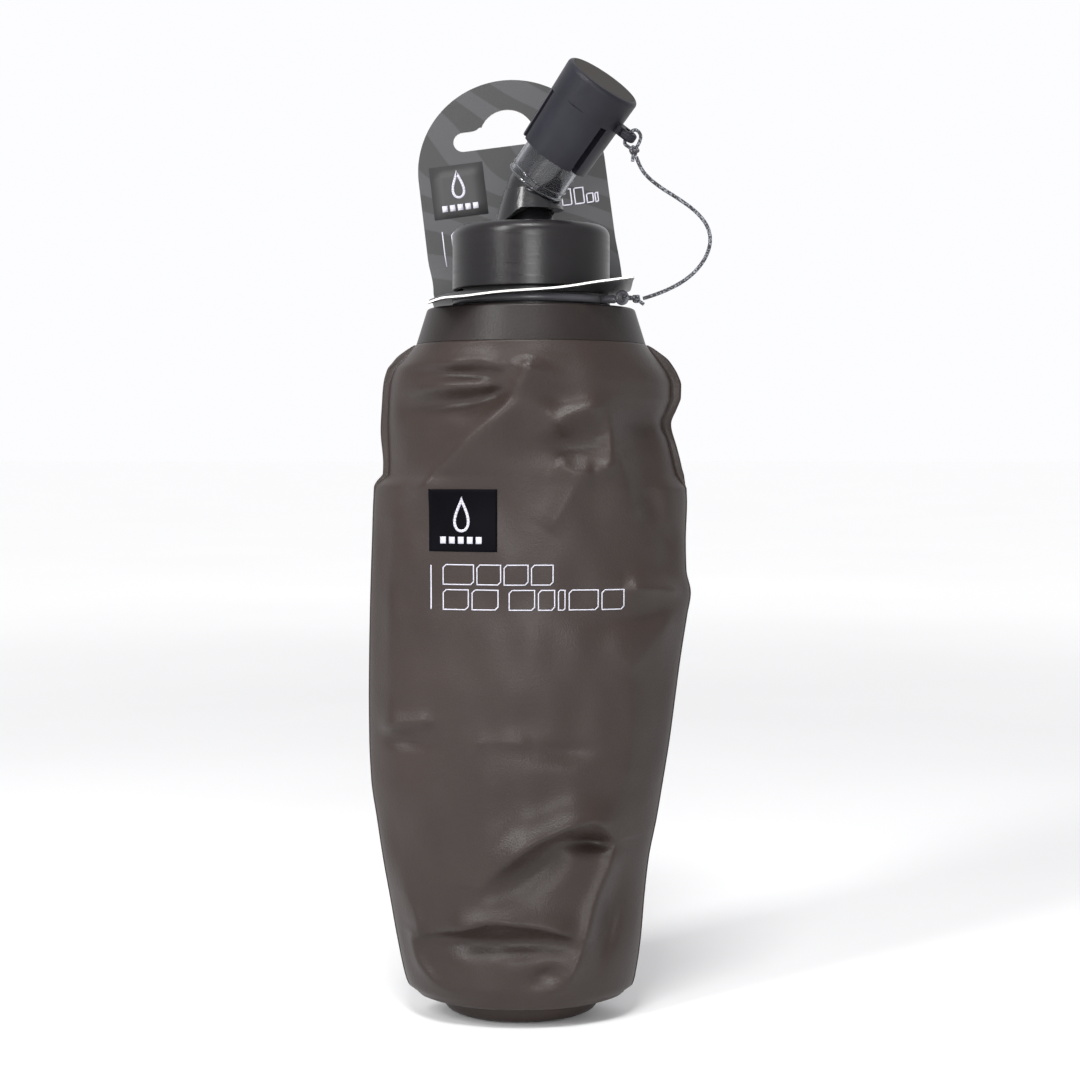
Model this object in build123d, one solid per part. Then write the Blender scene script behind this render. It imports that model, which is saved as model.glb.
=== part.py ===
from build123d import *
import os
from math import pi, radians, tan

os.makedirs("parts", exist_ok=True)

# A collapsible soft flask of welded film with a screw cap, a swivelling spout under a tethered
# dust cap, and a folded card hang tag round its neck. Millimetres and degrees. +Z is up, the
# front is -Y, and the origin is on the underside of the foot.

# ---- Film bag ----
BAG_TOP = 181.5          # height of the film's top edge, where it is welded to the collar
BAG_HALF_WIDTH = 42.5    # widest half width of the bag
BAG_HALF_DEPTH = 21.0    # half depth of the filled bag at mid height
FILM = 0.8               # film thickness
FOLD_HEIGHT = 85.0       # height of the line where the bag folds forward
FOOT_RISE = 5.0          # height of the seam between the film and the foot
FOOT_HALF_WIDTH = 25.0   # flat part of the foot
FOOT_HALF_DEPTH = 14.5
FOOT_FLOOR = 1.0
FIN_WIDTH = 3.0          # weld flange along each shoulder
FIN_THICKNESS = 1.2
FIN_LOW = 140.0
MOUTH_OVAL = 0.01        # the top section is an ellipse that is round to this much

# Bag sections below the shoulder: share of the top height, of the half width and of the half
# depth, and the centre's place across the bag in mm.
LOWER_SECTIONS = [
    (0.155, 0.80, 0.93, -3.6),
    (0.292, 0.88, 0.95, -3.9),
    (0.468, 0.965, 0.975, -2.6),
    (0.622, 1.0, 1.0, -0.4),
    (0.826, 0.93, 1.17, -0.3),
]
SEAM_SHARE = (0.70, 0.88, -3.0)
# Shoulder sections: distance under the top edge, and the shares of the way from the collar's
# radius to the bag's half width and to its half depth.
SHOULDER_SECTIONS = [(15.5, 0.573, 0.34), (5.5, 0.317, 0.10)]

# ---- Collar and neck ----
COLLAR_LOW_R = 30.8
COLLAR_TOP_R = 27.8
COLLAR_HEIGHT = 9.5
COLLAR_WALL = 1.6
COLLAR_EDGE = 1.0
NECK_BORE_R = 16.5
NECK_WALL = 1.8
NECK_HEIGHT = 19.2       # neck tube above the collar's top face
NECK_FLANGE_R = 25.0
NECK_FLANGE = 2.0
FLANGE_SKIRT = 1.5       # neck tube below its flange

# ---- Screw thread, four starts ----
THREAD_STARTS = 4
THREAD_LEAD = 12.0
THREAD_ARC = 70.0
THREAD_HEIGHT = 1.1
THREAD_ROOT = 1.4
THREAD_CREST = 0.8
THREAD_SINK = 0.3
THREAD_ABOVE_COLLAR = 12.0
THREAD_CLEAR = 0.4

# ---- Screw cap ----
CAP_WALL = 1.3
CAP_GAP = 5.0            # room between collar and cap for the tether ring and the card
CAP_PLATE = 2.0
CAP_EDGE = 3.0
CAP_LOW_EDGE = 0.5
LINER = 0.8
LINER_GAP = 0.1
WALL_CLEAR = 0.5         # loose clearance between round walls that turn past each other

# ---- Swivel pedestal, stem and seal ----
STEM_R = 3.0
RUNNING = 0.05
PEDESTAL_LOW_R = 7.15
PEDESTAL_TOP_R = 4.45
PEDESTAL_HEIGHT = 5.2
STUB_R = 4.95
STUB_FLANGE_R = 6.5
STUB_FLANGE = 1.4
STEM_LIP_WIDTH = 0.7
STEM_LIP = 0.8
SWIVEL_GAP = 0.3
FLOW_R = 1.6
SEAL_R = 0.42
SEAL_CLEAR = 0.02        # seal inside its groove
SEAL_GROOVE = 1.1

# ---- Spout ----
SPOUT_TILT = 40.0        # lean of the spout from upright
SPOUT_AZIMUTH = -32.0    # way the spout points at rest, from +X towards +Y
BEND_RISE = 9.8          # height of the bend over the cap's top face
ELBOW_INSET = 0.5        # how far the elbow lies inside the dust cap's bore
ELBOW_END = 1.9          # distances along the spout from the bend
SKIRT_TOP_R = 7.2
SKIRT_LOW_R = 10.0
SKIRT_WALL = 1.3
SKIRT_CUT = 38.0
SKIRT_OPEN = -3.0
SKIRT_OPEN_HEIGHT = 4.3  # top of the hood's opening over the cap
SPOUT_SPACE = 40.0       # more than any length along the spout
SEAT_END = 4.6
POST_R = 3.2
POST_END = 17.5
PLUG_R = 1.45
PLUG_END = 21.0
SIDE_HOLE_R = 0.8

# ---- Pull nozzle ----
NOZZLE_TRAVEL = 5.0
NOZZLE_WALL = 1.3
NOZZLE_LOW = 5.2
NOZZLE_SHOULDER = 18.1
NOZZLE_END = 24.4
NOZZLE_SLIDE = 0.1
NOZZLE_FLANGE_WIDTH = 1.9
NOZZLE_FLANGE = 7.0
LIP_WALL = 0.9
LIP_LENGTH = 5.0

# ---- Dust cap ----
CUP_LOW = 2.3
CUP_R = 8.0
CUP_WALL = 0.9
CUP_TOP = 33.0
CUP_BEAD_R = 0.35
CUP_BEAD_SINK = 0.05
SHELL_LOW = 11.8
SHELL_TOP = 35.4
SHELL_LOW_WALL = 2.0
SHELL_TOP_WALL = 2.7
SHELL_EDGE = 1.2
SLOT_WIDTH = 2.0
SLOT_TOP = 26.3
SLOT_SINK = 1.0          # slots reach this far inside the cup's outer face
SLOT_ANGLE = 55.0        # slots each side of the front and back tongues
TONGUE_CREASE = 27.2
TONGUE_CREASE_WIDTH = 10.2
TONGUE_CREASE_DEPTH = 0.6
TONGUE_CREASE_HEIGHT = 0.35
BADGE = 0.8
BADGE_CLEAR = 0.1
DUST_CAP_CLOCK = 16.5    # turn of the lug about the spout
LUG_OUT = 5.2            # lug's middle outside the cup
LUG_R = 2.6
LUG_HOLE_R = 1.3
LUG_THICKNESS = 2.4
LUG_ROUND = 0.7
LUG_ROOT = 0.5           # lug's root inside the shell's wall
LUG_ALONG = 27.6

# ---- Tether ring and cord ----
RING_WIDTH = 2.6
RING_THICKNESS = 2.0
RING_LIFT = 1.0
EYELET_OUT = 5.7         # eyelet's middle outside the ring
EYELET_AZIMUTH = -27.3
EYELET_R = 2.3
EYELET_HOLE_R = 1.0
ARM_WIDTH = 3.0
CORD_D = 1.0
KNOT_R = 1.25
KNOT_LENGTH = 2.5
RING_KNOT_CLOCK = 27.3   # way from the eyelet's middle to its knot, from the arm
RING_KNOT_GAP = 0.4
LUG_KNOT_OUT = 3.1       # knot's near end from the lug's middle
LUG_KNOT_DROP = 1.6
LUG_KNOT_LEAN = 55.0
CORD_ROUTE = [
    (29.5, -12.4, 193.1), (31.9, -12.3, 193.8), (35.3, -12.2, 195.1), (39.6, -12.1, 197.2),
    (43.4, -12.0, 200.2), (46.3, -11.9, 204.2), (47.4, -11.8, 208.5), (46.4, -11.7, 212.5),
    (43.2, -11.6, 216.2), (38.8, -11.5, 219.3), (33.8, -11.4, 222.4), (30.5, -11.3, 225.1),
    (28.6, -11.2, 227.7), (27.7, -11.1, 230.3),
]

# ---- Hang tag card ----
CARD = 0.5
CARD_WIDTH = 53.5
COLLAR_CARD_FRONT = 27.0
CREASE_Y = 27.5
CREASE_GAP = 0.3
CARD_HOLE_CLEAR = 0.3
CARD_UNDER_CAP = 1.4
CARD_LEAN = 10.0
CARD_STRAIGHT = 38.7     # straight side of the standing panel, under its arch
CARD_CORNER = 3.0
HANG_SLOT_WIDTH = 31.0
HANG_SLOT_HEIGHT = 5.6
HANG_LOBE_R = 8.0
HANG_SLOT_RISE = 48.5

# ---- Worked-out places ----
COLLAR_TOP = BAG_TOP + COLLAR_HEIGHT
NECK_TOP = COLLAR_TOP + NECK_HEIGHT
NECK_R = NECK_BORE_R + NECK_WALL
NECK_CREST_R = NECK_R + THREAD_HEIGHT
CAP_BORE_R = NECK_CREST_R + THREAD_CLEAR
CAP_R = CAP_BORE_R + CAP_WALL
CAP_LOW = COLLAR_TOP + CAP_GAP
ELBOW_R = CUP_R - CUP_WALL - ELBOW_INSET
NOZZLE_R = POST_R + NOZZLE_SLIDE + NOZZLE_WALL
NOZZLE_FLANGE_R = NOZZLE_R + NOZZLE_FLANGE_WIDTH
SHELL_LOW_R = CUP_R + SHELL_LOW_WALL
SHELL_TOP_R = CUP_R + SHELL_TOP_WALL
LUG_REACH = CUP_R + LUG_OUT
RING_INNER_R = NECK_R + THREAD_CLEAR
EYELET_REACH = RING_INNER_R + RING_WIDTH + EYELET_OUT
CAP_CEILING = NECK_TOP + 2 * LINER_GAP + LINER
CAP_TOP = CAP_CEILING + CAP_PLATE
BEND_HEIGHT = CAP_TOP + BEND_RISE
PEDESTAL_TOP = CAP_TOP + PEDESTAL_HEIGHT
STUB_LOW = CAP_CEILING - STUB_FLANGE
CARD_TOP = CAP_LOW - CARD_UNDER_CAP + CARD
CARD_LOW = CAP_LOW - CARD_UNDER_CAP
SEAM_HALF_WIDTH = SEAM_SHARE[0] * BAG_HALF_WIDTH
SEAM_HALF_DEPTH = SEAM_SHARE[1] * BAG_HALF_DEPTH
SEAM_CENTRE = SEAM_SHARE[2]

ON_BASE = (Align.CENTER, Align.CENTER, Align.MIN)
BIG = 400.0

# Frames: along the spout from the bend before and after it is swivelled to its place at rest,
# and the dust cap's own, with its lug on +X.
SWIVEL = Rot(0, 0, SPOUT_AZIMUTH)
LEAN = Pos(0, 0, BEND_HEIGHT) * Rot(0, SPOUT_TILT, 0)
SPOUT = SWIVEL * LEAN
DUST_CAP = SPOUT * Rot(0, 0, DUST_CAP_CLOCK)


def disc(radius, low, high):
    return Pos(0, 0, low) * Cylinder(radius, high - low, align=ON_BASE)


def ring(outer, inner, low, high):
    return disc(outer, low, high) - disc(inner, low, high)


def taper(low_r, high_r, low, high):
    return Pos(0, 0, low) * Cone(low_r, high_r, high - low, align=ON_BASE)


def slab(x, y, z):
    """A box from three (low, high) pairs."""
    size = [high - low for low, high in (x, y, z)]
    return Pos(x[0], y[0], z[0]) * Box(*size, align=(Align.MIN, Align.MIN, Align.MIN))


def save(solid, node):
    solid.label = node
    export_step(solid, f"parts/{node}.step")


# ---- Film bag ----
def bag_sections():
    """Half width, half depth, centre and height of each level, from the foot seam up."""
    levels = [(SEAM_HALF_WIDTH, SEAM_HALF_DEPTH, SEAM_CENTRE, FOOT_RISE)]
    for rise, wide, deep, centre in LOWER_SECTIONS:
        levels.append((wide * BAG_HALF_WIDTH, deep * BAG_HALF_DEPTH, centre, rise * BAG_TOP))
    for drop, wide, deep in SHOULDER_SECTIONS:
        half_width = COLLAR_LOW_R + wide * (BAG_HALF_WIDTH - COLLAR_LOW_R)
        half_depth = COLLAR_LOW_R + deep * (BAG_HALF_DEPTH - COLLAR_LOW_R)
        levels.append((half_width, half_depth, 0.0, BAG_TOP - drop))
    levels.append((COLLAR_LOW_R, COLLAR_LOW_R - MOUTH_OVAL, 0.0, BAG_TOP))
    return levels


def bag_form(grow):
    """The bag's closed outer form, grown by a distance or shrunk by a negative one."""
    faces = [Pos(centre, 0, height) * Ellipse(wide + grow, deep + grow)
             for wide, deep, centre, height in bag_sections()]
    return loft(faces, ruled=True)


def foot_form(grow, floor):
    low = Pos(SEAM_CENTRE, 0, floor) * Ellipse(FOOT_HALF_WIDTH + grow, FOOT_HALF_DEPTH + grow)
    high = Pos(SEAM_CENTRE, 0, FOOT_RISE) * Ellipse(SEAM_HALF_WIDTH + grow, SEAM_HALF_DEPTH + grow)
    return loft([low, high])


def make_bag():
    outer = bag_form(0.0)
    film = outer - bag_form(-FILM)
    fins = (bag_form(FIN_WIDTH) & slab((-BIG, BIG), (-FIN_THICKNESS / 2, FIN_THICKNESS / 2),
                                       (FIN_LOW, BAG_TOP))) - outer
    film = film + fins
    halves = {"front": (-BIG, 0), "back": (0, BIG)}
    levels = {"lower": (0, FOLD_HEIGHT), "upper": (FOLD_HEIGHT, BAG_TOP)}
    for side, depth in halves.items():
        for level, heights in levels.items():
            save(film & slab((-BIG, BIG), depth, heights), f"bag_{side}_{level}")
    save(foot_form(0.0, 0.0) - foot_form(-FILM, FOOT_FLOOR), "base_gusset")


# ---- Collar, neck and thread ----
def make_collar():
    top_low = COLLAR_TOP - COLLAR_WALL
    body = taper(COLLAR_LOW_R, COLLAR_TOP_R, BAG_TOP, COLLAR_TOP)
    body = fillet(body.faces().sort_by(Axis.Z)[-1].edges(), COLLAR_EDGE)
    hollow = taper(COLLAR_LOW_R - COLLAR_WALL, COLLAR_TOP_R - COLLAR_WALL, BAG_TOP, top_low)
    save(body - hollow - disc(NECK_R, top_low, COLLAR_TOP), "shoulder_collar")


def thread_ridge(root_r, direction, height):
    """One thread start: a trapezoid swept up a helix from +X. direction +1 stands outward."""
    path = Helix(pitch=THREAD_LEAD, height=THREAD_LEAD * THREAD_ARC / 360, radius=root_r)
    sink = -direction * THREAD_SINK
    crest = direction * THREAD_HEIGHT
    outline = Polyline((sink, -THREAD_ROOT / 2), (crest, -THREAD_CREST / 2),
                       (crest, THREAD_CREST / 2), (sink, THREAD_ROOT / 2), close=True)
    start = Plane(origin=path @ 0, x_dir=(1, 0, 0), z_dir=path % 0)
    ridge = sweep(start * make_face(outline), path=path, is_frenet=True)
    return Pos(0, 0, height) * ridge


def with_thread(body, root_r, direction, height):
    for start in range(THREAD_STARTS):
        body = body + Rot(0, 0, 360 * start / THREAD_STARTS) * thread_ridge(root_r, direction, height)
    return body


THREAD_LOW = COLLAR_TOP + THREAD_ABOVE_COLLAR
HALF_PITCH = THREAD_LEAD / THREAD_STARTS / 2


def make_neck():
    flange_top = COLLAR_TOP - COLLAR_WALL
    flange_low = flange_top - NECK_FLANGE
    tube = disc(NECK_R, flange_low - FLANGE_SKIRT, NECK_TOP) + disc(NECK_FLANGE_R, flange_low, flange_top)
    tube = tube - disc(NECK_BORE_R, flange_low - FLANGE_SKIRT, NECK_TOP)
    save(with_thread(tube, NECK_R, 1, THREAD_LOW), "neck_mouth")


# ---- Screw cap, liner, pedestal and swivel seal ----
def make_cap():
    body = disc(CAP_R, CAP_LOW, CAP_TOP)
    body = fillet(body.faces().sort_by(Axis.Z)[-1].edges(), CAP_EDGE)
    body = fillet(body.faces().sort_by(Axis.Z)[0].edges(), CAP_LOW_EDGE)
    body = body - disc(CAP_BORE_R, CAP_LOW, CAP_CEILING)
    body = body - disc(STUB_R, CAP_CEILING, CAP_TOP)
    save(with_thread(body, CAP_BORE_R, -1, THREAD_LOW - HALF_PITCH), "screw_cap")

    liner_low = NECK_TOP + LINER_GAP
    liner_r = CAP_BORE_R - THREAD_HEIGHT
    save(ring(liner_r, STUB_FLANGE_R + WALL_CLEAR, liner_low, liner_low + LINER), "cap_liner")


def seal_height():
    return CAP_TOP + PEDESTAL_HEIGHT / 3


def make_pedestal():
    groove_r = STEM_R + RUNNING + 2 * SEAL_R
    body = taper(PEDESTAL_LOW_R, PEDESTAL_TOP_R, CAP_TOP, PEDESTAL_TOP)
    body = body + disc(STUB_R, CAP_CEILING, CAP_TOP) + disc(STUB_FLANGE_R, STUB_LOW, CAP_CEILING)
    body = body - disc(STEM_R + RUNNING, STUB_LOW, PEDESTAL_TOP)
    body = body - ring(groove_r, STEM_R / 2, seal_height() - SEAL_GROOVE / 2, seal_height() + SEAL_GROOVE / 2)
    save(body, "spout_pedestal")
    seal = Torus(STEM_R + RUNNING + SEAL_R, SEAL_R - SEAL_CLEAR)
    save(Pos(0, 0, seal_height()) * seal, "swivel_seal")


# ---- Spout elbow, post and its seal ----
def above_bend(along):
    """Room for what lies further along the spout, before the swivel turns it."""
    return LEAN * disc(SPOUT_SPACE, along, SPOUT_SPACE)


def skirt():
    """The hood round the pedestal, open on the side that the spout leans to."""
    low = CAP_TOP + SWIVEL_GAP
    outside = taper(SKIRT_LOW_R, SKIRT_TOP_R, low, BEND_HEIGHT)
    hollow_top = PEDESTAL_TOP + SWIVEL_GAP
    hollow = taper(SKIRT_LOW_R - SKIRT_WALL, PEDESTAL_TOP_R + SWIVEL_GAP, low, hollow_top)
    cutter = Pos(SKIRT_OPEN, 0, low) * Rot(0, -SKIRT_CUT, 0) * slab((0, BIG), (-BIG, BIG), (-BIG, 0))
    cutter = cutter & disc(BIG, CAP_TOP, CAP_TOP + SKIRT_OPEN_HEIGHT)
    return outside - hollow - cutter - above_bend(ELBOW_END)


def make_spout():
    lip_top = STUB_LOW - SWIVEL_GAP
    stem_low = lip_top - STEM_LIP
    elbow = skirt() + Pos(0, 0, BEND_HEIGHT) * Sphere(ELBOW_R)
    elbow = elbow + LEAN * disc(ELBOW_R, 0, ELBOW_END) - above_bend(ELBOW_END)
    elbow = elbow + LEAN * disc(CUP_R - CUP_WALL - SWIVEL_GAP, ELBOW_END, SEAT_END)
    elbow = elbow - taper(PEDESTAL_LOW_R + SWIVEL_GAP, PEDESTAL_TOP_R + SWIVEL_GAP, CAP_TOP,
                          PEDESTAL_TOP + SWIVEL_GAP)
    elbow = elbow + disc(STEM_R, lip_top, BEND_HEIGHT) + disc(STEM_R + STEM_LIP_WIDTH, stem_low, lip_top)
    flow = disc(FLOW_R, stem_low, BEND_HEIGHT) + LEAN * disc(FLOW_R, 0, SEAT_END)
    flow = flow + Pos(0, 0, BEND_HEIGHT) * Sphere(FLOW_R)
    save(SWIVEL * (elbow - flow), "spout_elbow")

    post = disc(POST_R, SEAT_END, POST_END) + disc(PLUG_R, POST_END, PLUG_END)
    post = post - disc(FLOW_R, SEAT_END, POST_END - FLOW_R)
    side_hole = Pos(0, 0, POST_END - 2 * FLOW_R) * Rot(90, 0, 0) * Cylinder(SIDE_HOLE_R, 4 * POST_R)
    post = post - side_hole
    seal_at = (NOZZLE_LOW + NOZZLE_TRAVEL + POST_END) / 2
    groove_r = POST_R + NOZZLE_SLIDE - 2 * SEAL_R
    post = post - ring(2 * POST_R, groove_r, seal_at - SEAL_GROOVE / 2, seal_at + SEAL_GROOVE / 2)
    save(SPOUT * post, "spout_post")
    seal = Torus(groove_r + SEAL_R, SEAL_R - SEAL_CLEAR)
    save(SPOUT * Pos(0, 0, seal_at) * seal, "post_seal")


# ---- Pull nozzle and its soft lip ----
def make_nozzle():
    bore_r = POST_R + NOZZLE_SLIDE
    body = disc(NOZZLE_R, NOZZLE_LOW, NOZZLE_END) + disc(NOZZLE_FLANGE_R, NOZZLE_LOW,
                                                         NOZZLE_LOW + NOZZLE_FLANGE)
    body = body - disc(bore_r, NOZZLE_LOW, NOZZLE_SHOULDER)
    body = body - disc(PLUG_R + NOZZLE_SLIDE, NOZZLE_SHOULDER, NOZZLE_END)
    save(SPOUT * body, "pull_nozzle")
    lip = ring(NOZZLE_R + LIP_WALL, NOZZLE_R, NOZZLE_END - LIP_LENGTH, NOZZLE_END)
    save(SPOUT * lip, "nozzle_lip")


# ---- Dust cap: clear cup, moulded shell with lug, badge ----
def shell_slots():
    cut = None
    for middle in (-90, 90):
        for side in (-SLOT_ANGLE, SLOT_ANGLE):
            arm = slab((CUP_R - SLOT_SINK, SHELL_TOP_R * 2), (-SLOT_WIDTH / 2, SLOT_WIDTH / 2), (0, SLOT_TOP))
            arm = Rot(0, 0, middle + side) * arm
            cut = arm if cut is None else cut + arm
    return cut


def make_dust_cap():
    cup = disc(CUP_R, CUP_LOW, CUP_TOP) - disc(CUP_R - CUP_WALL, CUP_LOW, CUP_TOP - CUP_WALL)
    for along in (CUP_LOW + CUP_BEAD_R, CUP_LOW + 6 * CUP_BEAD_R):
        cup = cup + Pos(0, 0, along) * Torus(CUP_R - CUP_BEAD_SINK, CUP_BEAD_R)
    save(DUST_CAP * cup, "dust_cap_cup")

    shell = taper(SHELL_LOW_R, SHELL_TOP_R, SHELL_LOW, SHELL_TOP)
    shell = fillet(shell.faces().sort_by(Axis.Z)[-1].edges(), SHELL_EDGE)
    lug_low, lug_high = LUG_ALONG - LUG_THICKNESS / 2, LUG_ALONG + LUG_THICKNESS / 2
    lug = disc(LUG_R, lug_low, lug_high)
    lug = fillet(lug.edges().filter_by(GeomType.CIRCLE), LUG_ROUND)
    root = slab((CUP_R + LUG_ROOT - LUG_REACH, 0), (-LUG_R + LUG_ROUND, LUG_R - LUG_ROUND),
                (lug_low, lug_high))
    shell = shell + Pos(LUG_REACH, 0, 0) * (lug + root)
    shell = shell - Pos(LUG_REACH, 0, 0) * disc(LUG_HOLE_R, 0, SHELL_TOP)
    shell = shell - disc(CUP_R, SHELL_LOW, CUP_TOP) - shell_slots()
    crease_y = TONGUE_CREASE_DEPTH - SHELL_TOP_R
    crease = slab((-TONGUE_CREASE_WIDTH / 2, TONGUE_CREASE_WIDTH / 2), (-2 * SHELL_TOP_R, crease_y),
                  (TONGUE_CREASE, TONGUE_CREASE + TONGUE_CREASE_HEIGHT))
    pocket_r = SHELL_TOP_R - SHELL_EDGE
    shell = shell - crease - disc(pocket_r, SHELL_TOP - BADGE, SHELL_TOP)
    save(DUST_CAP * shell, "dust_cap_shell")

    badge = disc(pocket_r - BADGE_CLEAR, SHELL_TOP - BADGE, SHELL_TOP)
    save(DUST_CAP * badge, "dust_cap_badge")


# ---- Tether ring, cord and knots ----
def make_tether():
    low = COLLAR_TOP + RING_LIFT
    high = low + RING_THICKNESS
    eyelet = Rot(0, 0, EYELET_AZIMUTH) * Pos(EYELET_REACH, 0, 0)
    body = disc(RING_INNER_R + RING_WIDTH, low, high) + eyelet * disc(EYELET_R, low, high)
    body = body + Rot(0, 0, EYELET_AZIMUTH) * slab((0, EYELET_REACH), (-ARM_WIDTH / 2, ARM_WIDTH / 2),
                                                   (low, high))
    save(body - disc(RING_INNER_R, low, high) - eyelet * disc(EYELET_HOLE_R, low, high), "tether_ring")

    knot = disc(KNOT_R, 0, KNOT_LENGTH)
    from_eyelet = Rot(0, 0, RING_KNOT_CLOCK) * Pos(EYELET_R + RING_KNOT_GAP, 0, (low + high) / 2)
    save(eyelet * from_eyelet * Rot(0, 90, 0) * knot, "ring_knot")
    from_lug = Pos(LUG_REACH + LUG_KNOT_OUT, 0, LUG_ALONG - LUG_KNOT_DROP) * Rot(0, 180 - LUG_KNOT_LEAN, 0)
    save(DUST_CAP * from_lug * knot, "lug_knot")


def cord_radii():
    """Each corner's arc radius: 0.45 of the shorter run over the tangent of half the turn."""
    points = [Vector(*point) for point in CORD_ROUTE]
    radii = []
    for before, corner, after in zip(points, points[1:], points[2:]):
        turn = (corner - before).get_angle(after - corner)
        shorter = min((corner - before).length, (after - corner).length)
        radii.append(0.45 * shorter / tan(radians(turn) / 2))
    return radii


def make_cord():
    radii = cord_radii()
    print("cord radii, mm:", [round(radius, 1) for radius in radii])
    path = FilletPolyline(*CORD_ROUTE, radius=radii)
    section = Plane(origin=path @ 0, z_dir=path % 0) * Circle(CORD_D / 2)
    cord = sweep(section, path=path)
    print("cord length, mm:", round(path.length, 1))
    print("cord volume over section x length:", round(cord.volume / (path.length * pi * CORD_D ** 2 / 4), 4))
    save(cord, "tether_cord")


# ---- Hang tag ----
def make_tag():
    half = CARD_WIDTH / 2
    hole_r = NECK_CREST_R + CARD_HOLE_CLEAR
    flat = slab((-half, half), (-COLLAR_CARD_FRONT, CREASE_Y), (CARD_LOW, CARD_TOP))
    front_edges = flat.edges().filter_by(Axis.Z).sort_by(Axis.Y)[:2]
    flat = fillet(front_edges, CARD_CORNER)
    save(flat - disc(hole_r, CARD_LOW, CARD_TOP), "hang_tag_collar")

    panel = slab((-half, half), (0, CARD), (CREASE_GAP, CARD_STRAIGHT))
    arch = Pos(0, 0, CARD_STRAIGHT) * Rot(-90, 0, 0) * Cylinder(half, CARD, align=ON_BASE)
    slot_end = HANG_SLOT_WIDTH / 2 - HANG_SLOT_HEIGHT / 2
    hole = slab((-slot_end, slot_end), (0, CARD),
                (HANG_SLOT_RISE - HANG_SLOT_HEIGHT / 2, HANG_SLOT_RISE + HANG_SLOT_HEIGHT / 2))
    for across in (-slot_end, slot_end):
        hole = hole + Pos(across, 0, HANG_SLOT_RISE) * Rot(-90, 0, 0) * Cylinder(
            HANG_SLOT_HEIGHT / 2, CARD, align=ON_BASE)
    lobe = Rot(-90, 0, 0) * Cylinder(HANG_LOBE_R, CARD, align=ON_BASE)
    lobe = lobe & slab((-HANG_LOBE_R, HANG_LOBE_R), (0, CARD), (0, HANG_LOBE_R))
    hole = hole + Pos(0, 0, HANG_SLOT_RISE) * lobe
    panel = panel + arch - hole
    save(Pos(0, CREASE_Y, CARD_LOW) * Rot(-CARD_LEAN, 0, 0) * panel, "hang_tag_panel")


make_bag()
make_collar()
make_neck()
make_cap()
make_pedestal()
make_spout()
make_nozzle()
make_dust_cap()
make_tether()
make_cord()
make_tag()
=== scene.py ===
"""Looks of the collapsible soft flask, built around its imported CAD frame."""
import math

import bmesh
import bpy
import numpy as np
from mathutils import Matrix, Vector
from mathutils.bvhtree import BVHTree


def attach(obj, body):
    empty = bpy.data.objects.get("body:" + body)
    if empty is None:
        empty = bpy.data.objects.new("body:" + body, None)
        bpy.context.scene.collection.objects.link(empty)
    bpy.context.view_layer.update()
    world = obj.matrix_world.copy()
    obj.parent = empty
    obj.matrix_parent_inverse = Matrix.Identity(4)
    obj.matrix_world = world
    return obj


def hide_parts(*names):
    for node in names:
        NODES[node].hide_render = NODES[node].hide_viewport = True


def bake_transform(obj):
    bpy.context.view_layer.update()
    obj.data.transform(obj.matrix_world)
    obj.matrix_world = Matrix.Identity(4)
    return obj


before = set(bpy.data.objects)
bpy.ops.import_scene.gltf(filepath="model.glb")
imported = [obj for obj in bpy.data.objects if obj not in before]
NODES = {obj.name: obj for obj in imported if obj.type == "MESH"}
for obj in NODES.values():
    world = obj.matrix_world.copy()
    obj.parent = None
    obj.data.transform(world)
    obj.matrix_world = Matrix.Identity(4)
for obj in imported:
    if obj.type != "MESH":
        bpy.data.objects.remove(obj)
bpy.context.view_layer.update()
MM = 0.001


# ---------------------------------------------------------------- helpers
def new_object(name, points, faces, smooth=True):
    mesh = bpy.data.meshes.new(name)
    mesh.from_pydata([tuple(p) for p in points], [], faces)
    mesh.validate()
    if smooth:
        mesh.shade_smooth()
    obj = bpy.data.objects.new(name, mesh)
    bpy.context.scene.collection.objects.link(obj)
    return obj


def recalculate(obj):
    work = bmesh.new()
    work.from_mesh(obj.data)
    bmesh.ops.recalc_face_normals(work, faces=work.faces)
    work.to_mesh(obj.data)
    work.free()


def ease(t):
    """A smooth step from 0 to 1, for numbers and arrays."""
    t = np.clip(t, 0.0, 1.0)
    return t * t * (3 - 2 * t)


def through(pairs, at):
    """A smooth curve through (place, value) pairs, read at an array of places.

    Its slope at each pair is the harmonic mean of its neighbours', so it never overshoots.
    """
    place = np.array([p for p, _ in pairs], float)
    value = np.array([v for _, v in pairs], float)
    order = np.argsort(place)
    place, value = place[order], value[order]
    steep = np.diff(value) / np.diff(place)
    both = steep[:-1] + steep[1:]
    same = steep[:-1] * steep[1:] > 0
    inner = np.where(same, 2 * steep[:-1] * steep[1:] / np.where(same, both, 1.0), 0.0)
    slope = np.concatenate(([steep[0]], inner, [steep[-1]]))
    at = np.clip(at, place[0], place[-1])
    i = np.clip(np.searchsorted(place, at) - 1, 0, len(place) - 2)
    span = place[i + 1] - place[i]
    t = (at - place[i]) / span
    return ((2 * t ** 3 - 3 * t ** 2 + 1) * value[i] + (t ** 3 - 2 * t ** 2 + t) * span * slope[i]
            + (3 * t ** 2 - 2 * t ** 3) * value[i + 1] + (t ** 3 - t ** 2) * span * slope[i + 1])


# ---------------------------------------------------------------- materials
def material(name):
    made = bpy.data.materials.new(name)
    made.use_nodes = True
    tree = made.node_tree
    return made, tree.nodes, tree.links, tree.nodes["Principled BSDF"]


def add(nodes, kind, **settings):
    node = nodes.new(kind)
    for key, value in settings.items():
        if hasattr(node, key) and key not in node.inputs:
            setattr(node, key, value)
        else:
            node.inputs[key].default_value = value
    return node


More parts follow.
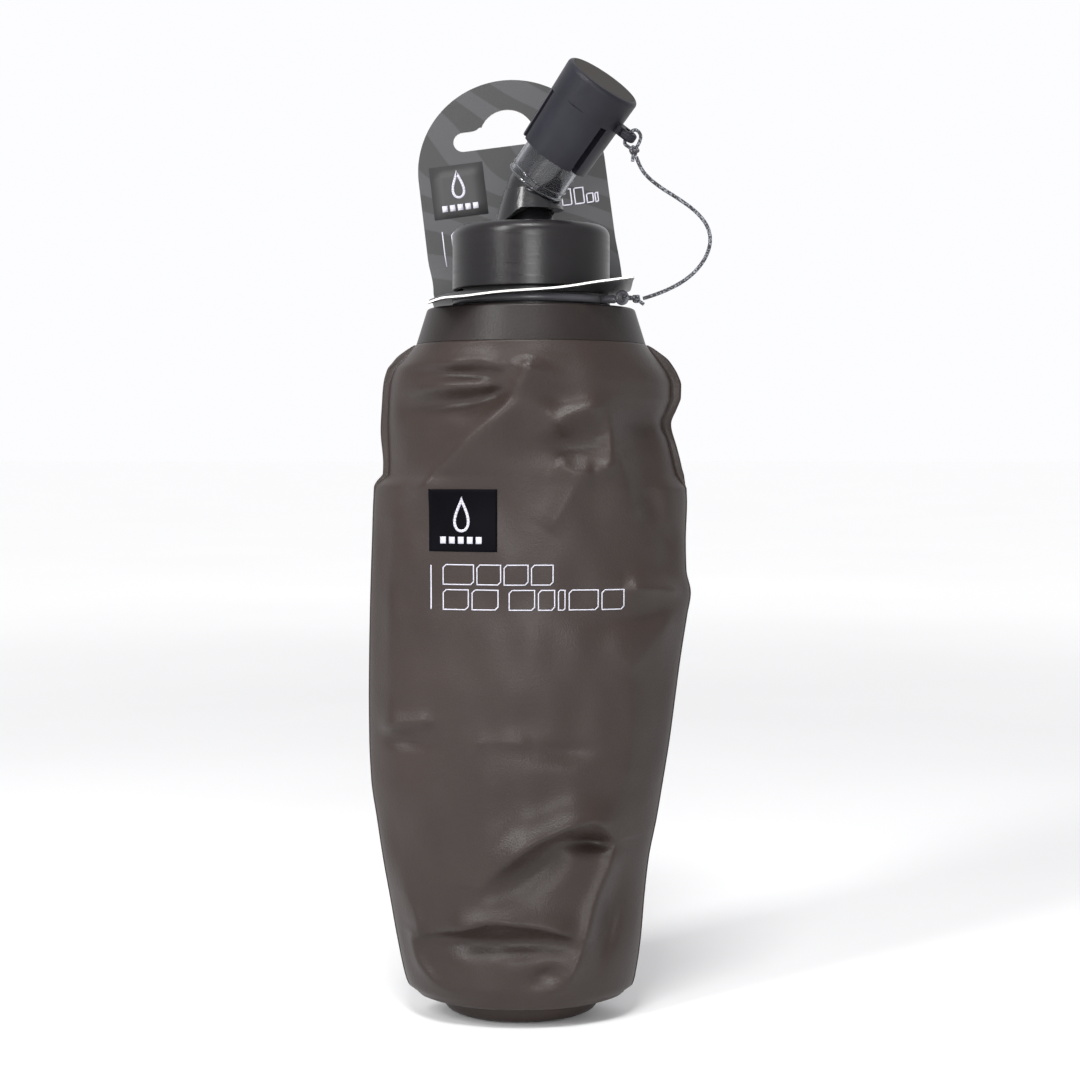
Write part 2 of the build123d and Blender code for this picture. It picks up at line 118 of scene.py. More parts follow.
def object_place(nodes, links, stretch=(1, 1, 1)):
    place = nodes.new("ShaderNodeTexCoord")
    mapping = nodes.new("ShaderNodeMapping")
    mapping.inputs["Scale"].default_value = stretch
    links.new(place.outputs["Object"], mapping.inputs["Vector"])
    return mapping.outputs["Vector"]


def noise(nodes, links, place, scale, detail=3.0, rough=0.5):
    made = add(nodes, "ShaderNodeTexNoise", Scale=scale, Detail=detail, Roughness=rough)
    links.new(place, made.inputs["Vector"])
    return made.outputs["Fac"]


def ramp(nodes, links, source, stops):
    made = nodes.new("ShaderNodeValToRGB")
    elements = made.color_ramp.elements
    while len(elements) < len(stops):
        elements.new(0.5)
    for element, (at, colour) in zip(elements, stops):
        element.position = at
        element.color = (*colour, 1.0)
    links.new(source, made.inputs["Fac"])
    return made.outputs["Color"]


def spread(nodes, links, source, low, high, start=0.0, end=1.0, interpolation="LINEAR"):
    """Maps a value from start..end to low..high."""
    made = add(nodes, "ShaderNodeMapRange", interpolation_type=interpolation)
    for socket, value in (("From Min", start), ("From Max", end), ("To Min", low), ("To Max", high)):
        made.inputs[socket].default_value = value
    links.new(source, made.inputs["Value"])
    return made.outputs["Result"]


def bump(nodes, links, heights, shader):
    """Chains (height, strength, distance in metres) bumps into the shader's normal."""
    before = None
    for height, strength, distance in heights:
        made = nodes.new("ShaderNodeBump")
        made.inputs["Strength"].default_value = strength
        made.inputs["Distance"].default_value = distance
        links.new(height, made.inputs["Height"])
        if before is not None:
            links.new(before, made.inputs["Normal"])
        before = made.outputs["Normal"]
    links.new(before, shader.inputs["Normal"])


def grained_plastic(name, dark, light, rough, grain_scale, grain, shine=0.5, coat=0.0):
    """Moulded plastic: mottled colour, uneven gloss and a fine grain."""
    made, nodes, links, shader = material(name)
    place = object_place(nodes, links)
    broad = noise(nodes, links, place, 60.0, 4.0)
    fine = noise(nodes, links, place, grain_scale, 2.0, 0.6)
    links.new(ramp(nodes, links, broad, [(0.3, dark), (0.7, light)]), shader.inputs["Base Color"])
    links.new(spread(nodes, links, broad, rough - 0.06, rough + 0.08), shader.inputs["Roughness"])
    bump(nodes, links, [(fine, 0.5, grain)], shader)
    shader.inputs["Specular IOR Level"].default_value = shine
    shader.inputs["Coat Weight"].default_value = coat
    shader.inputs["Coat Roughness"].default_value = 0.12
    return made


def film_material():
    """Matte film: fine pebble grain, satin sheen, darker and paler clouds where it is handled."""
    made, nodes, links, shader = material("film")
    place = object_place(nodes, links)
    cells = add(nodes, "ShaderNodeTexVoronoi", feature="SMOOTH_F1", Scale=2100.0, Smoothness=0.6)
    wobble = noise(nodes, links, place, 1300.0, 3.0, 0.6)
    links.new(place, cells.inputs["Vector"])
    clouds = noise(nodes, links, place, 22.0, 5.0, 0.6)
    colour = ramp(nodes, links, clouds, [(0.25, (0.022, 0.014, 0.012)), (0.55, (0.028, 0.019, 0.016)),
                                         (0.8, (0.035, 0.024, 0.021))])
    links.new(colour, shader.inputs["Base Color"])
    links.new(spread(nodes, links, clouds, 0.38, 0.50), shader.inputs["Roughness"])
    shader.inputs["Specular IOR Level"].default_value = 0.34
    crumple = noise(nodes, links, place, 75.0, 4.0, 0.55)
    bump(nodes, links, [(crumple, 0.25, 0.0008), (cells.outputs["Distance"], 0.4, 0.00010),
                        (wobble, 0.3, 0.00012)], shader)
    return made


def turned_material():
    """Satin black cap with faint streaks round its side."""
    made, nodes, links, shader = material("cap_black")
    place = object_place(nodes, links, (0.06, 0.06, 1.0))
    streaks = noise(nodes, links, place, 900.0, 4.0, 0.65)
    broad = noise(nodes, links, object_place(nodes, links), 45.0, 3.0)
    links.new(ramp(nodes, links, broad, [(0.3, (0.007, 0.006, 0.007)), (0.75, (0.013, 0.011, 0.012))]),
              shader.inputs["Base Color"])
    links.new(spread(nodes, links, streaks, 0.20, 0.42), shader.inputs["Roughness"])
    speck = noise(nodes, links, object_place(nodes, links), 1600.0, 2.0)
    bump(nodes, links, [(streaks, 0.12, 0.0002), (speck, 0.1, 0.0002)], shader)
    shader.inputs["Specular IOR Level"].default_value = 0.35
    return made


def clear_material():
    """Smoky clear plastic with faint flow lines."""
    made, nodes, links, shader = material("clear_plastic")
    place = object_place(nodes, links)
    flow = noise(nodes, links, place, 120.0, 2.0)
    links.new(ramp(nodes, links, flow, [(0.3, (0.36, 0.37, 0.40)), (0.8, (0.44, 0.45, 0.48))]),
              shader.inputs["Base Color"])
    shader.inputs["Transmission Weight"].default_value = 0.95
    links.new(spread(nodes, links, flow, 0.03, 0.10), shader.inputs["Roughness"])
    shader.inputs["IOR"].default_value = 1.45
    bump(nodes, links, [(flow, 0.15, 0.0006)], shader)
    return made


def braid_material():
    """Black braid flecked with pale threads."""
    made, nodes, links, shader = material("braid")
    place = object_place(nodes, links)
    cells = add(nodes, "ShaderNodeTexVoronoi", Scale=3600.0)
    links.new(place, cells.inputs["Vector"])
    split = nodes.new("ShaderNodeSeparateColor")
    links.new(cells.outputs["Color"], split.inputs["Color"])
    colour = ramp(nodes, links, split.outputs["Red"],
                  [(0.0, (0.012, 0.012, 0.014)), (0.66, (0.02, 0.02, 0.024)), (0.72, (0.20, 0.21, 0.24))])
    links.new(colour, shader.inputs["Base Color"])
    shader.inputs["Roughness"].default_value = 0.7
    shader.inputs["Sheen Weight"].default_value = 0.2
    bump(nodes, links, [(cells.outputs["Distance"], 0.6, 0.00015)], shader)
    return made


def card_material(name, dark, light):
    """Printed card: faint wavy diagonal bands over fine paper tooth."""
    made, nodes, links, shader = material(name)
    place = object_place(nodes, links, (1.0, 1.0, 1.6))
    bands = add(nodes, "ShaderNodeTexWave", bands_direction="DIAGONAL", Scale=26.0, Distortion=7.0,
                Detail=1.0)
    bands.inputs["Detail Scale"].default_value = 0.6
    links.new(place, bands.inputs["Vector"])
    links.new(ramp(nodes, links, bands.outputs["Fac"], [(0.46, dark), (0.54, light)]),
              shader.inputs["Base Color"])
    tooth = noise(nodes, links, object_place(nodes, links), 1800.0, 3.0)
    links.new(spread(nodes, links, tooth, 0.42, 0.6), shader.inputs["Roughness"])
    bump(nodes, links, [(tooth, 0.25, 0.0001)], shader)
    return made


# Name: dark and light colour, roughness, grain scale and depth, and where they matter gloss and coat.
PLASTICS = {
    "card_under": ((0.006, 0.006, 0.007), (0.012, 0.012, 0.013), 0.35, 1500.0, 0.0001),
    "card_core": ((0.72, 0.69, 0.66), (0.86, 0.84, 0.82), 0.7, 1500.0, 0.0001),
    "collar": ((0.012, 0.009, 0.008), (0.020, 0.015, 0.014), 0.42, 1300.0, 0.0001, 0.25),
    "neck": ((0.012, 0.012, 0.012), (0.022, 0.022, 0.022), 0.4, 1200.0, 0.0001),
    "spout_black": ((0.006, 0.006, 0.007), (0.013, 0.013, 0.015), 0.26, 1200.0, 0.0001, 0.5, 0.2),
    "shell_black": ((0.008, 0.008, 0.012), (0.015, 0.015, 0.022), 0.42, 4600.0, 0.00012, 0.22),
    "badge": ((0.018, 0.014, 0.013), (0.026, 0.021, 0.019), 0.62, 3000.0, 0.00004, 0.2),
    "seal": ((0.01, 0.01, 0.01), (0.02, 0.02, 0.02), 0.5, 1400.0, 0.0001),
    "tether_rubber": ((0.06, 0.06, 0.068), (0.13, 0.13, 0.145), 0.3, 1500.0, 0.00005),
    "print_dark": ((0.001, 0.001, 0.002), (0.002, 0.002, 0.004), 0.55, 1500.0, 0.00003, 0.05),
    "print_grey": ((0.020, 0.020, 0.021), (0.027, 0.027, 0.028), 0.6, 1500.0, 0.00003),
    "print_light": ((0.46, 0.45, 0.52), (0.58, 0.57, 0.64), 0.55, 1200.0, 0.00005),
}
MATERIALS = {name: grained_plastic(name, *values) for name, values in PLASTICS.items()}
MATERIALS["film"] = film_material()
MATERIALS["cap_black"] = turned_material()
MATERIALS["clear_plastic"] = clear_material()
MATERIALS["braid"] = braid_material()
MATERIALS["card"] = card_material("card", (0.014, 0.014, 0.015), (0.034, 0.034, 0.037))
CAD_MATERIALS = {
    "shoulder_collar": "collar", "neck_mouth": "neck", "screw_cap": "cap_black", "cap_liner": "seal",
    "spout_pedestal": "spout_black", "swivel_seal": "seal", "spout_elbow": "spout_black",
    "spout_post": "spout_black", "post_seal": "seal", "pull_nozzle": "spout_black", "nozzle_lip": "seal",
    "dust_cap_cup": "clear_plastic", "dust_cap_shell": "shell_black", "dust_cap_badge": "badge",
}
for node, finish in CAD_MATERIALS.items():
    NODES[node].data.materials.clear()
    NODES[node].data.materials.append(MATERIALS[finish])


# ---------------------------------------------------------------- camera and light
CAMERA_AT = Vector((0.0024, -0.570, 0.153))
LOOK_AT = Vector((0.0024, 0.0, 0.1290))
LENS, SENSOR = 70.4, 36.0
FLOOR_HALF = 30.0
BAG_MIDDLE = (0.0, 0.0, 0.13)
CAP_MIDDLE = (0.0, 0.0, 0.2)
# Name: place, aim, size in metres, watts.
LIGHTS = {
    "key_left": ((-0.50, -0.52, 0.56), BAG_MIDDLE, (0.12, 0.5), 4.4),
    "front_soft": ((0.03, -0.95, 0.26), CAP_MIDDLE, (0.30, 0.3), 3.0),
    "top_front": ((-0.05, -0.40, 0.86), BAG_MIDDLE, (0.24, 0.16), 4.4),
}


def make_camera():
    """Straight before the bottle, level with its upper half."""
    data = bpy.data.cameras.new("camera")
    data.lens = LENS
    data.sensor_width = SENSOR
    data.clip_start = 0.01
    camera = bpy.data.objects.new("camera", data)
    camera.location = CAMERA_AT
    camera.rotation_euler = (LOOK_AT - CAMERA_AT).to_track_quat("-Z", "Y").to_euler()
    bpy.context.scene.collection.objects.link(camera)
    bpy.context.scene.camera = camera


def area_light(name, at, aim, size, watts):
    data = bpy.data.lights.new(name, "AREA")
    data.shape = "RECTANGLE"
    data.size, data.size_y = size
    data.energy = watts
    light = bpy.data.objects.new(name, data)
    light.location = at
    light.rotation_euler = (Vector(aim) - Vector(at)).to_track_quat("-Z", "Y").to_euler()
    bpy.context.scene.collection.objects.link(light)


def make_world():
    """Pale all round, and brighter behind the bottle's back than before its front."""
    world = bpy.data.worlds.new("studio")
    world.use_nodes = True
    nodes, links = world.node_tree.nodes, world.node_tree.links
    way = nodes.new("ShaderNodeSeparateXYZ")
    links.new(nodes.new("ShaderNodeTexCoord").outputs["Generated"], way.inputs["Vector"])
    glow = spread(nodes, links, way.outputs["Y"], 0.60, 1.0, start=0.1, end=0.92, interpolation="SMOOTHSTEP")
    links.new(glow, nodes["Background"].inputs["Strength"])
    nodes["Background"].inputs["Color"].default_value = (0.98, 0.98, 1.0, 1)
    bpy.context.scene.world = world
    bpy.context.scene.view_settings.view_transform = "Standard"


def make_floor():
    """A wide pale floor."""
    half = FLOOR_HALF
    corners = [(-half, -half, 0), (half, -half, 0), (half, half, 0), (-half, half, 0)]
    floor = new_object("floor", corners, [(0, 1, 2, 3)], smooth=False)
    made, nodes, links, shader = material("floor")
    tone = noise(nodes, links, object_place(nodes, links), 3.0)
    links.new(ramp(nodes, links, tone, [(0.3, (0.86, 0.86, 0.86)), (0.7, (0.90, 0.90, 0.90))]),
              shader.inputs["Base Color"])
    shader.inputs["Roughness"].default_value = 0.9
    # The far floor glows a little, to meet the bright ground behind it without an edge.
    far = add(nodes, "ShaderNodeVectorMath", operation="LENGTH")
    links.new(object_place(nodes, links), far.inputs[0])
    glow = spread(nodes, links, far.outputs["Value"], 0.0, 0.36, start=0.1, end=1.8,
                  interpolation="SMOOTHSTEP")
    links.new(glow, shader.inputs["Emission Strength"])
    shader.inputs["Emission Color"].default_value = (1, 1, 1, 1)
    floor.data.materials.append(made)


make_camera()
make_world()
for light_name, light_settings in LIGHTS.items():
    area_light(light_name, *light_settings)
make_floor()


# ---------------------------------------------------------------- tether cord
# Lengths in metres, from the eyelet up to the lug.
CORD_D = 0.0010
LOOSE_CORD_SHARE = 0.92
KNOT_POINTS = 24
CORD_ROUTE = [
    (0.0295, -0.0124, 0.1931), (0.0319, -0.0123, 0.1938), (0.0353, -0.0122, 0.1951),
    (0.0396, -0.0121, 0.1972), (0.0434, -0.0120, 0.2002), (0.0463, -0.0119, 0.2042),
    (0.0474, -0.0118, 0.2085), (0.0464, -0.0117, 0.2125), (0.0432, -0.0116, 0.2162),
    (0.0388, -0.0115, 0.2193), (0.0338, -0.0114, 0.2224), (0.0305, -0.0113, 0.2251),
    (0.0286, -0.0112, 0.2277), (0.0277, -0.0111, 0.2303),
]


def cord_curve(name, points, diameter, cyclic=False):
    """A round braided cord along a smooth curve held by its points."""
    curve = bpy.data.curves.new(name, "CURVE")
    curve.dimensions = "3D"
    curve.bevel_depth = diameter / 2
    curve.bevel_resolution = 4
    curve.resolution_u = 16
    curve.use_fill_caps = True
    spline = curve.splines.new("NURBS")
    spline.points.add(len(points) - 1)
    for point, place in zip(spline.points, points):
        point.co = (*place, 1.0)
    spline.order_u = 3
    if cyclic:
        spline.use_cyclic_u = True
    else:
        spline.use_endpoint_u = True
    obj = bpy.data.objects.new(name, curve)
    bpy.context.scene.collection.objects.link(obj)
    curve.materials.append(MATERIALS["braid"])
    return obj


cord = cord_curve("tether_cord_braid", CORD_ROUTE, CORD_D)
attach(cord, "dust_cap")
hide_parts("tether_cord")


LUG = Vector((0.02525, -0.01136, 0.23601))
LUG_OUT = Vector((0.7734, -0.1484, -0.6162))
SPOUT_WAY = Vector((0.5451, -0.3406, 0.7660))
LUG_KNOT = Vector((0.0271, -0.0113, 0.2318))
EYELET = Vector((0.02399, -0.01238, 0.1933))
EYELET_WAY = Vector((-0.4586, -0.8886, 0.0))
RING_KNOT = Vector((0.0277, -0.0125, 0.1931))


def cord_bit(name, points, body, cyclic=False, node=None):
    """A short loose piece of the same cord, a little thinner where it is pulled tight."""
    made = cord_curve(name, points, CORD_D * LOOSE_CORD_SHARE, cyclic)
    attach(made, body)
    if node:
        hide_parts(node)
    return made


def knot(name, centre, size, node, body, way):
    """An overhand knot: a short rope wound round itself, as a closed trefoil."""
    turn = Vector(way).to_track_quat("Z", "Y").to_matrix()
    points = []
    for i in range(KNOT_POINTS):
        t = 2 * math.pi * i / KNOT_POINTS
        across, up = math.sin(t) + 2 * math.sin(2 * t), math.cos(t) - 2 * math.cos(2 * t)
        points.append(centre + turn @ (Vector((across, up, -2.4 * math.sin(3 * t))) * size / 3))
    return cord_bit(name, points, body, True, node)


def lug_point(out, along, side=0.0):
    """A place near the lug's hole, in mm out from the shell, along the spout and to the side."""
    return LUG + (LUG_OUT * out + SPOUT_WAY * along + LUG_OUT.cross(SPOUT_WAY) * side) * MM


def tail_of(centre, steps):
    """A knot's middle and the points of a cord end that hangs out of it."""
    return [centre] + [centre + Vector(step) for step in steps]


lug_knot = knot("lug_knot_braid", LUG_KNOT, 0.0010, "lug_knot", "dust_cap", (0.3, -0.5, -0.8))
lug_loop = cord_bit("lug_loop_braid", [LUG_KNOT, lug_point(3.9, 0.0, -0.5), lug_point(3.2, 2.2, -0.3),
                                       lug_point(0.9, 2.7), lug_point(0.1, 0.0), lug_point(0.6, -2.4),
                                       lug_point(2.4, -2.2, 0.4)], "dust_cap", cyclic=True)
lug_tail = cord_bit("lug_tail_braid", tail_of(LUG_KNOT, [(-0.0003, -0.0005, -0.0014),
                                                         (-0.0004, -0.0008, -0.0028)]), "dust_cap")
ring_knot = knot("ring_knot_braid", RING_KNOT, 0.0008, "ring_knot", "tether", (1.0, 0.0, 0.1))
ring_loop = cord_bit("ring_loop_braid", [RING_KNOT, EYELET + Vector((0.0012, -0.0014, 0.0002)), EYELET,
                                         EYELET + Vector((0.0016, 0.0010, -0.0002))], "tether", cyclic=True)
ring_tail = cord_bit("ring_tail_braid", tail_of(RING_KNOT, [(0.0010, -0.0004, -0.0009),
                                                            (0.0020, -0.0005, -0.0016)]), "tether")


# ---------------------------------------------------------------- tether ring
# In mm: the band's section as (radius, height), and the arm out to the eyelet as (reach, half width,
# half height).
RING_SECTION = [(18.75, 192.3), (19.1, 192.0), (20.9, 192.0), (21.25, 192.3), (21.25, 193.7), (20.9, 194.0),
                (19.1, 194.0), (18.75, 193.7)]
RING_MIDDLE = 193.0
RING_STEPS = 128
EYELET_ARM = [(20.9, 1.4, 0.9), (22.6, 1.0, 0.95), (24.4, 0.5, 1.1), (25.6, 0.4, 0.7)]
# The upright eyelet's two beads: (reach from its middle, radius), in mm.
EYELET_BEADS = [(1.45, 0.55), (0.82, 0.28)]
EYELET_STEPS = 48
EYELET_OUT = Vector((-EYELET_WAY.y, EYELET_WAY.x, 0.0))


def add_ring(points, faces, section, place, steps):
    """A closed section of (radius, height) turned about an axis."""
    first, count = len(points), len(section)
    for step in range(steps):
        turn = 2 * math.pi * step / steps
        points += [place(r * math.cos(turn), r * math.sin(turn), h) for r, h in section]
    for step in range(steps):
        for k in range(count):
            a, b = first + step * count + k, first + step * count + (k + 1) % count
            c, d = (first + (step + 1) % steps * count + i for i in ((k + 1) % count, k))
            faces.append((a, b, c, d))


def bead(reach, thick, count=16):
    """A round section at some reach from the axis it is turned about."""
    return [(reach + thick * math.cos(2 * math.pi * i / count), thick * math.sin(2 * math.pi * i / count))
            for i in range(count)]


def make_tether_ring():
    points, faces = [], []
    add_ring(points, faces, RING_SECTION, lambda x, y, z: Vector((x, y, z)) * MM, RING_STEPS)
    for reach, thick in EYELET_BEADS:
        add_ring(points, faces, bead(reach, thick),
                 lambda x, y, z: EYELET + (EYELET_OUT * x + Vector((0, 0, y)) + EYELET_WAY * z) * MM,
                 EYELET_STEPS)
    first = len(points)
    for reach, wide, high in EYELET_ARM:
        for side, up in ((-1, -1), (1, -1), (1, 1), (-1, 1)):
            place = EYELET_OUT * reach + EYELET_WAY * wide * side
            points.append((place + Vector((0, 0, RING_MIDDLE + high * up))) * MM)
    for k in range(len(EYELET_ARM) - 1):
        for i in range(4):
            n = (i + 1) % 4
            a, b = first + 4 * k, first + 4 * k + 4
            faces.append((a + i, a + n, b + n, b + i))
    faces += [(first, first + 1, first + 2, first + 3), tuple(len(points) - 1 - i for i in range(4))]
    ring = new_object("tether_band", points, faces)
    recalculate(ring)
    ring.data.materials.append(MATERIALS["tether_rubber"])
    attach(ring, "tether")
    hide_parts("tether_ring")


make_tether_ring()


# ---------------------------------------------------------------- film bag
# Silhouette of the film, in mm: (height, place of the left edge) and the same for the right.
LEFT_EDGE = [(181.4, -30.9), (179.5, -32.4), (177.0, -34.6), (174.8, -36.6), (171.0, -37.8), (167.6, -38.2),
             (158.6, -38.5), (150.0, -38.3), (147.0, -38.4), (145.0, -40.4), (143.4, -41.9), (139.8, -42.3),
             (129.0, -42.7), (118.0, -43.1), (107.0, -43.4), (96.0, -43.6), (86.0, -43.7), (75.0, -43.6),
             (64.0, -43.1), (53.4, -41.6), (42.6, -40.0), (31.8, -38.1), (21.0, -36.2), (10.2, -33.9),
             (8.0, -33.0), (6.2, -30.6)]
RIGHT_EDGE = [(181.4, 30.9), (179.5, 32.2), (177.2, 34.0), (173.5, 36.6), (170.6, 37.6), (167.5, 37.6),
              (164.6, 36.7), (160.4, 35.2), (155.5, 36.9), (151.5, 38.0), (147.1, 39.1), (144.5, 40.6),
              (142.8, 41.6), (139.0, 41.8), (129.0, 41.5), (121.0, 41.7), (114.8, 42.9), (109.0, 42.0),
              (96.6, 40.1), (85.8, 38.7), (75.0, 37.3), (64.2, 35.6), (53.4, 33.8), (42.6, 31.7),
              (31.8, 30.5), (21.0, 29.6), (10.2, 28.0), (8.0, 27.3), (6.2, 25.0)]
# Width of the weld fin along each shoulder, in mm.
LEFT_FIN = [(181.4, 0.6), (180.3, 1.6), (178.0, 2.6), (174.0, 2.1), (167.6, 1.9), (158.6, 2.1), (149.5, 1.6),
            (147.0, 1.6), (145.0, 1.2), (143.4, 0.5), (140.0, 0.3), (6.2, 0.3)]
RIGHT_FIN = [(181.4, 0.6), (180.5, 1.6), (177.2, 3.2), (173.5, 2.9), (168.0, 2.8), (164.6, 2.7), (160.4, 2.6),
             (155.5, 2.0), (151.5, 2.0), (147.1, 2.0), (145.0, 1.2), (143.2, 0.4), (140.0, 0.3), (6.2, 0.3)]
# Half depth of the film from front to back.
DEPTH = [(181.4, 30.8), (176.0, 30.0), (166.0, 27.6), (150.0, 24.8), (113.0, 21.2), (85.0, 20.6),
         (53.0, 20.1), (28.0, 19.7), (12.0, 19.2), (6.2, 18.3)]
# Section form: 0 at the round collar, 1 where the film is flattest between its edges.
FLATNESS = [(181.4, 0.0), (170.0, 0.45), (150.0, 0.85), (113.0, 1.0), (40.0, 1.0), (6.2, 0.8)]
COLUMNS = 150
ROWS = 320
BAG_TOP, BAG_LOW = 181.4, 6.2
SEAM_HALF = 0.35
# Steps out along a weld fin: share of its width and of the seam's thickness.
FIN_STEPS = ((0.35, 1.0), (0.7, 1.0), (0.97, 0.9))
FIN_WAVE, FIN_WAVE_LENGTH, FIN_LOW = 0.5, 4.1, 143.0
# The foot under the film's lower edge: distance under it and share of its size.
FOOT_RINGS = ((0.5, 0.99), (0.9, 0.95), (1.1, 0.88), (1.3, 0.80), (2.2, 0.755), (3.6, 0.73), (4.9, 0.69),
              (5.7, 0.62), (6.1, 0.5))
FOOT_DROP = 6.15
LIP_SHARE, LIP_DROP = 0.97, 0.001
CREASE_SHARPNESS = 1.45
CREASE_END = 0.22
SLACK_WAVES, SLACK_SHARE = 9, 0.42

# Creases pressed into the front film: points (x, z), rise, width on the upper and lower side, in mm.
FRONT_CREASES = [
    ([(1.0, 178.0), (-1.0, 173.5), (-6.8, 164.2), (-16.6, 155.4), (-27.1, 145.0), (-34.0, 136.0)],
     4.4, 3.6, 7.0),
    ([(-33.0, 168.3), (-20.0, 169.8), (-8.5, 169.8)], 1.4, 2.0, 1.8),
    ([(-24.0, 175.6), (-14.0, 176.4), (-6.0, 173.5)], 1.5, 2.6, 2.0),
    ([(5.0, 158.6), (9.0, 161.6), (14.0, 163.6), (20.4, 164.6)], 3.1, 2.4, 3.4),
    ([(20.0, 165.5), (21.0, 157.0), (20.8, 150.4), (16.5, 147.0)], 2.6, 2.8, 2.4),
    ([(17.0, 147.4), (11.0, 148.0), (6.5, 151.0)], 1.5, 2.6, 3.0),
    ([(14.6, 148.5), (9.0, 140.0), (3.7, 131.6)], 1.3, 4.0, 3.2),
    ([(22.5, 153.0), (25.5, 144.0), (29.0, 134.0)], 1.5, 3.4, 3.0),
    ([(42.0, 115.2), (33.0, 116.8), (24.0, 117.0)], 2.6, 3.2, 2.0),
    ([(40.0, 112.0), (31.0, 101.0), (24.5, 93.5)], 1.4, 5.0, 4.0),
    ([(-42.0, 78.5), (-37.0, 80.4), (-31.0, 81.3), (-24.0, 82.5)], 1.7, 3.0, 2.0),
    ([(-15.0, 76.0), (-8.0, 77.2), (1.0, 76.6)], 0.8, 3.2, 2.4),
    ([(-13.6, 38.5), (-6.7, 45.1), (-0.4, 50.0), (5.5, 52.8), (10.7, 55.0), (15.9, 56.0), (20.0, 54.4),
      (23.0, 50.0)], 3.7, 4.6, 2.6),
    ([(23.0, 51.5), (21.2, 43.9), (17.7, 35.2), (14.2, 23.6), (11.3, 16.0), (6.0, 10.8)], 2.4, 2.8, 2.8),
    ([(-31.4, 24.2), (-18.4, 27.3), (-9.7, 29.6), (0.8, 28.4), (7.8, 26.6), (12.5, 24.0)], 3.2, 4.4, 1.8),
    ([(-33.4, 35.0), (-30.6, 29.2), (-30.2, 25.6), (-32.0, 22.6), (-31.0, 18.0), (-27.1, 13.1), (-21.0, 9.6)],
     1.9, 2.4, 2.4),
    ([(25.5, 96.0), (26.6, 78.0), (25.2, 62.0)], 1.3, 5.0, 5.0),
    ([(-36.5, 134.0), (-37.6, 115.0), (-37.6, 95.0), (-36.0, 70.0)], 1.5, 5.0, 5.0),
]
BACK_CREASES = [
    ([(-28.0, 172.0), (-16.0, 160.0), (2.0, 152.0), (16.0, 150.0)], 1.9, 3.4, 7.5),
    ([(26.0, 168.0), (18.0, 158.0), (14.0, 146.0)], 1.3, 3.0, 4.5),
    ([(-43.0, 112.0), (-30.0, 110.5), (-16.0, 113.0)], 1.1, 3.6, 2.2),
    ([(38.0, 82.0), (24.0, 80.5), (10.0, 84.5)], 1.0, 3.5, 2.4),
    ([(-26.0, 44.0), (-12.0, 53.0), (4.0, 55.0), (16.0, 48.0)], 1.8, 5.0, 3.0),
    ([(-28.0, 22.0), (-10.0, 26.0), (12.0, 24.0), (22.0, 18.0)], 1.3, 4.0, 3.0),
    ([(-10.0, 96.0), (6.0, 101.0), (20.0, 99.0)], 0.7, 4.5, 4.0),
]
# Hollows and swells: centre (x, z), half sizes, turn in degrees, depth (negative is a hollow), in mm.
FRONT_HOLLOWS = [
    ((-19.0, 173.0), (12.0, 2.2), -2.0, -2.5),
    ((-19.0, 165.6), (13.0, 3.0), 6.0, -3.2),
    ((-8.0, 168.0), (3.4, 2.6), 20.0, -2.2),
    ((9.0, 154.6), (9.0, 4.2), 6.0, -2.5),
    ((5.0, 168.0), (9.0, 3.6), -30.0, -1.5),
    ((28.0, 159.0), (5.0, 10.0), 12.0, -3.5),
    ((31.0, 139.5), (4.0, 6.5), 28.0, -3.2),
    ((36.0, 130.0), (6.5, 3.0), -40.0, -1.8),
    ((-12.0, 141.0), (10.0, 6.0), 0.0, -1.2),
    ((31.0, 110.0), (9.0, 3.4), 8.0, -1.6),
    ((-34.0, 76.5), (7.0, 2.6), -6.0, -1.5),
    ((9.0, 74.0), (8.0, 3.0), 0.0, -1.5),
    ((15.4, 49.4), (5.6, 2.2), -8.0, -3.8),
    ((2.0, 43.0), (9.0, 4.6), 38.0, -2.5),
    ((-8.0, 23.0), (17.0, 3.2), 0.0, -3.0),
    ((4.0, 14.8), (4.0, 2.4), 20.0, -1.9),
    ((20.6, 27.0), (2.8, 10.0), -12.0, -3.0),
    ((0.0, 92.0), (24.0, 14.0), 0.0, 1.0),
    ((-4.0, 126.0), (24.0, 10.0), 0.0, 0.6),
]
BACK_HOLLOWS = [
    ((0.0, 164.0), (16.0, 6.0), 10.0, -2.2),
    ((8.0, 140.0), (16.0, 8.0), -10.0, -1.3),
    ((-24.0, 104.0), (10.0, 4.5), 5.0, -1.1),
    ((4.0, 43.0), (12.0, 4.0), 12.0, -1.7),
    ((0.0, 16.0), (18.0, 4.5), 0.0, -1.2),
    ((0.0, 88.0), (22.0, 14.0), 0.0, 0.7),
]


def crease_height(x, z, creases):
    """Height of raised creases, each a smooth path that fades at its ends and falls off to its sides."""
    total = np.zeros_like(x)
    for path, rise, above, below in creases:
        fine = np.linspace(0, len(path) - 1, 12 * len(path))
        knots = np.arange(len(path))
        px = through(list(zip(knots, [p[0] for p in path])), fine)
        pz = through(list(zip(knots, [p[1] for p in path])), fine)
        dx = x[..., None] - px
        dz = z[..., None] - pz
        nearest = np.argmin(dx * dx + dz * dz, axis=-1)
        ddx = np.take_along_axis(dx, nearest[..., None], -1)[..., 0]
        ddz = np.take_along_axis(dz, nearest[..., None], -1)[..., 0]
        distance = np.hypot(ddx, ddz)
        width = np.where(ddz > 0, above, below)
        along = nearest / (len(fine) - 1)
        fade = ease(along / CREASE_END) * ease((1 - along) / CREASE_END) * 0.75 + 0.25
        total += rise * fade * np.exp(-(distance / width) ** CREASE_SHARPNESS)
    return total


